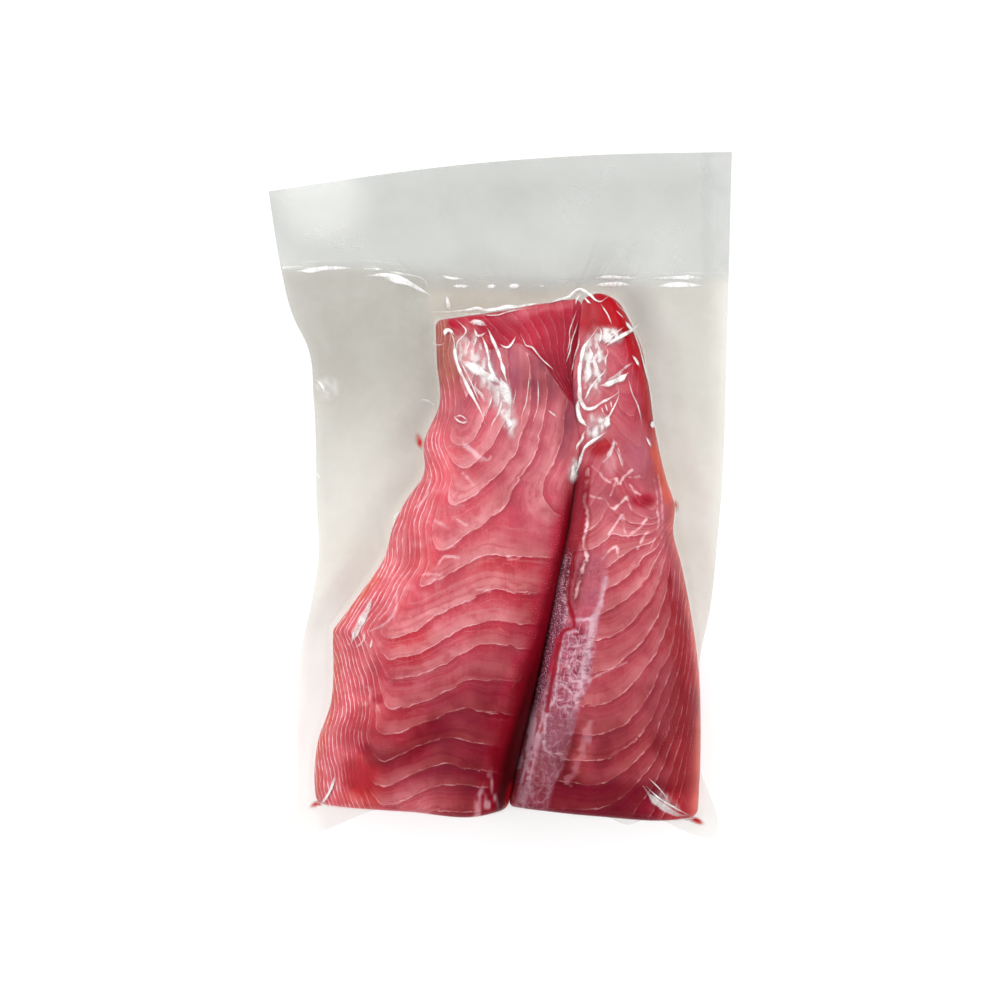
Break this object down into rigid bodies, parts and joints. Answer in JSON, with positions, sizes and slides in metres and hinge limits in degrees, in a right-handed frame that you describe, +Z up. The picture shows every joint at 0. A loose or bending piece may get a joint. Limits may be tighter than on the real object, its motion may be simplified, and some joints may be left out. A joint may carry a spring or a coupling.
{
  "type": "vacuum-packed raw tuna loin",
  "caption": "Raw tuna loin in two long flaky pieces side by side, sealed flat in a clear vacuum pouch with a plain header.",
  "frame": {"origin": "middle of the bounding box in plan, on the flat underside that the pack rests on", "axes": "+X across the pouch, +Y along it towards the unsealed header, +Z up through the side that shows"},
  "size_m": [0.1996, 0.3, 0.0401],
  "materials": {
    "film": "clear, slightly milky vacuum film",
    "loin_wide": "raw red fish, moist under the film",
    "loin_narrow": "raw dusky red fish, moist under the film"
  },
  "bodies": {
    "root": {"pouch": "film", "loin_wide": "loin_wide", "loin_narrow": "loin_narrow"}
  },
  "joints": []
}
